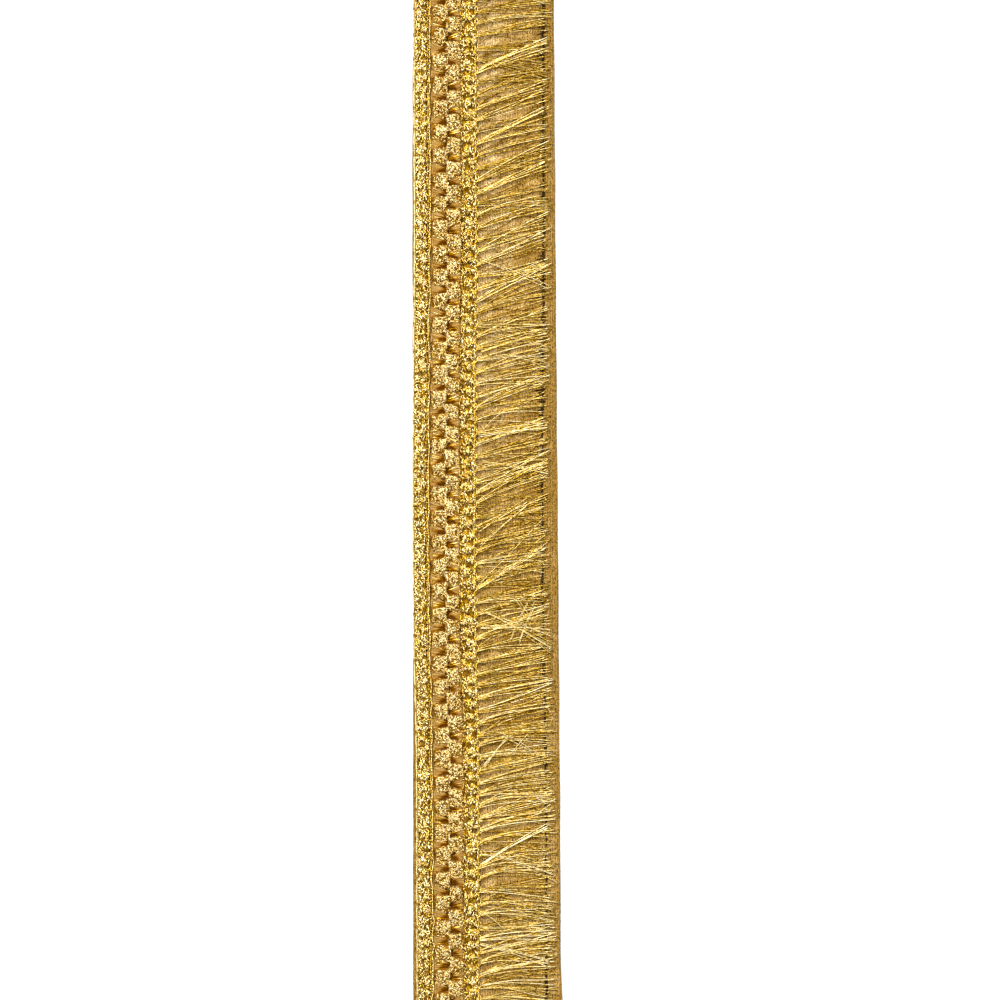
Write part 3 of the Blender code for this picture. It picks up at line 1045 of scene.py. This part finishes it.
def stray_paths(chance):
    share = np.linspace(0, 1, THREAD_STEPS)
    paths = []
    for root_x, root_y, tip_x, tip_y, count, spread, lift in STRAYS:
        for _ in range(count):
            ends = spread * chance.normal(0, 1, 2)
            start = photo_point(root_x, root_y + 0.5 * ends[0])
            end = photo_point(tip_x, tip_y + ends[1])
            across = start[0] + (end[0] - start[0]) * share
            bow = 0.5 * MM * np.sin(math.pi * share) * chance.uniform(0.2, 1.2)
            along = start[1] + (end[1] - start[1]) * share + bow
            rise = ROOT_HEIGHT + (VELVET_TOP + lift - ROOT_HEIGHT) * share
            paths.append(as_points(across, along, rise))
    return np.array(paths)


def make_fringe(materials):
    chance = np.random.default_rng(61)
    paths, layers = fringe_paths(chance)
    strays = stray_paths(chance)
    paths = np.concatenate([paths, strays])
    layers = np.concatenate([layers, np.ones((len(strays), 1))])[..., None]
    paths[..., 1] = np.clip(paths[..., 1], -TOP_END - 2 * MM, TOP_END + 2 * MM)
    strands = len(paths)
    lower_end = 1 - smooth_step(*PALER_END, paths[..., 1:2])
    # Painted shade: threads of deeper layers are darker.
    tones = 0.02 + 0.46 * layers + 0.22 * chance.uniform(-1, 1, (strands, 1, 1))
    tones[-len(strays):] += 0.04
    tones = tones + 0.16 * chance.uniform(-1, 1, (strands, THREAD_STEPS, 1))
    tones = tones + 0.12 * smooth_step(0.75, 1.0, np.linspace(0, 1, THREAD_STEPS))[None, :, None]
    tones = tones + 0.13 * lower_end
    tones = tones - 0.10 * smooth_step(*DARKER_END, paths[..., 1:2])
    turns = np.radians(chance.normal(14, 16, (strands, THREAD_STEPS)))
    roll = chance.uniform(0, 6, (strands, 1)) + np.cumsum(turns, axis=1)
    # Painted light: each thread is paler where its ring faces up and darker where it faces the lower end of
    # the ribbon.
    facing = roll[..., None] + 2 * math.pi * np.arange(3) / 3
    tones = tones + 0.18 * np.sin(facing) - 0.28 * np.cos(facing)
    radii = THREAD_RADIUS * (1 + 0.12 * lower_end) * chance.uniform(0.85, 1.15, (strands, 1, 1))
    lower = paths[:, 0, 1] < 0
    for name, chosen in (("fringe_threads_lower", lower), ("fringe_threads_upper", ~lower)):
        bundle = Bundle()
        bundle.add_tubes(paths[chosen], radii[chosen], 3, tones[chosen], roll=roll[chosen])
        bundle.make(name, "gold_thread", materials["thread"], ["cut_fringe"])
    heading = Bundle()
    add_heading(heading)
    heading.make("fringe_heading", "gold_thread", materials["loops"])


def add_heading(bundle):
    rows = along_length(0.8 * MM)
    section = ((HEADING[1], 1.2), (HEADING[1], 1.75), (HEADING[0], 1.85), (HEADING[0], 1.2))
    rings = [as_points(seam(rows) + across, rows, height * MM) for across, height in section]
    bundle.add_lofts(np.stack(rings, 1)[None], 0.5)


# Hem stitches

CHAIN_PITCH = 1.7 * MM
RUNG_PITCH = 1.15 * MM

# The part of the length over which the line grows finer and the rungs bolder, by y
BOLD_RUNG_END = (-30 * MM, 50 * MM)


def make_hem_stitches():
    """Dark overcast stitches along the hem: a chained line and rungs across it, bolder in places."""
    chance = np.random.default_rng(71)
    knots = along_length(7.0 * MM)
    boldness = chance.uniform(0.65, 1.25, len(knots))

    def bold(along):
        return np.interp(along, knots, boldness)

    bundle = Bundle()
    share = np.linspace(0, 1, 6)[None]
    one_each = (int(LENGTH / CHAIN_PITCH), 1)
    starts = -TOP_END + 0.2 * MM + np.arange(one_each[0])[:, None] * CHAIN_PITCH
    starts = starts + chance.normal(0, 0.15 * MM, one_each)
    along = starts + (CHAIN_PITCH - chance.uniform(-0.2, 0.6, one_each) * MM) * share
    across = seam(along) + HEM_STITCH + chance.normal(0, 0.09 * MM, one_each) + 0.12 * MM * (share - 0.5)
    rise = VELVET_TOP + (0.12 + 0.38 * np.sin(math.pi * share)) * MM
    radii = (0.36 - 0.04 * smooth_step(*BOLD_RUNG_END, starts)) * MM
    radii = radii * chance.uniform(0.55, 1.2, one_each) * bold(starts)
    tones = 0.08 + 0.25 * chance.uniform(-1, 1, (*one_each, 1))
    bundle.add_tubes(as_points(across, along, rise), radii[..., None], 5, tones, flat=0.5)

    one_each = (int(LENGTH / RUNG_PITCH), 1)
    middles = -TOP_END + (np.arange(one_each[0])[:, None] + 0.5) * RUNG_PITCH
    middles = middles + chance.normal(0, 0.6 * MM, one_each)
    reach = chance.uniform(0.8, 2.9, one_each) * MM * bold(middles)
    along = middles + reach * (share - 0.5) * chance.normal(0.15, 0.15, one_each)
    across = seam(along) + HEM_STITCH + chance.normal(-0.45, 0.35, one_each) * MM + reach * (share - 0.5)
    rise = VELVET_TOP + (0.03 + 0.12 * np.sin(math.pi * share)) * MM
    bolder = smooth_step(*BOLD_RUNG_END, middles)
    swell = 0.45 + 0.55 * np.sin(math.pi * share)
    radii = (0.09 + 0.13 * bolder) * MM * chance.uniform(0.3, 1.3, one_each) * bold(middles) * swell
    tones = 0.35 - 0.20 * bolder[..., None] + 0.3 * chance.uniform(-1, 1, (*one_each, 1))
    bundle.add_tubes(as_points(across, along, rise), radii[..., None], 4, tones)
    return bundle.make("hem_overcast_stitches", "tan_velvet", dark_thread())


# Stage, lights and camera

FLOOR_HALF = 3.0


def make_floor():
    mesh = bpy.data.meshes.new("floor")
    corners = [(x * FLOOR_HALF, y * FLOOR_HALF, 0) for x, y in ((-1, -1), (1, -1), (1, 1), (-1, 1))]
    mesh.from_pydata(corners, [], [(0, 1, 2, 3)])
    floor = bpy.data.objects.new("floor", mesh)
    floor.location.z = -0.02 * MM
    finish = Finish("pale_floor", Roughness=0.9, Specular_IOR_Level=0.1)
    finish.colour(finish.ramp(finish.noise(12.0), FLOOR_SHADES))
    mesh.materials.append(finish.material)
    bpy.context.scene.collection.objects.link(floor)
    return floor


LIGHTS = (
    # name, azimuth from the photo's right, elevation, distance, width, watts
    ("overhead_softbox", 125.0, 78.0, 1.75, 1.6, 30.0),
    ("key_light", 115.0, 52.0, 2.2, 0.40, 41.0),
    ("fill_light", 5.0, 50.0, 1.5, 0.40, 5.0),
)
WORLD_SHADE = (0.19, 0.18, 0.145, 1.0)


def make_lights():
    for name, azimuth, elevation, distance, width, watts in LIGHTS:
        data = bpy.data.lights.new(name, "AREA")
        data.shape = "DISK"
        data.size = width
        data.energy = watts
        light = bpy.data.objects.new(name, data)
        turn, lift = math.radians(azimuth), math.radians(elevation)
        flat = math.cos(lift)
        towards = Vector((math.cos(turn) * flat, math.sin(turn) * flat, math.sin(lift)))
        light.location = towards * distance
        light.rotation_euler = towards.to_track_quat("Z", "Y").to_euler()
        bpy.context.scene.collection.objects.link(light)
    world = bpy.data.worlds.new("studio")
    world.use_nodes = True
    background = world.node_tree.nodes["Background"]
    background.inputs["Color"].default_value = WORLD_SHADE
    bpy.context.scene.world = world


def make_camera():
    data = bpy.data.cameras.new("camera")
    data.lens = LENS
    data.sensor_width = SENSOR
    camera = bpy.data.objects.new("camera", data)
    distance = PHOTO_WIDTH / 2 / (SENSOR / 2 / LENS)
    camera.location = (*PHOTO_CENTRE, VELVET_TOP + distance)
    bpy.context.scene.collection.objects.link(camera)
    bpy.context.scene.camera = camera


def main():
    bpy.context.scene.view_settings.view_transform = "Standard"
    make_camera()
    make_lights()
    floor = make_floor()
    materials = gold_materials()
    ribbon = make_velvet(velvet())
    make_cords(materials)
    make_left_gimp(materials)
    make_right_gimp(materials)
    make_picot_cord(materials)
    yarn = satin()
    make_chenille(materials, yarn)
    make_fans(materials, yarn)
    make_fringe(materials)
    stitches = make_hem_stitches()


main()
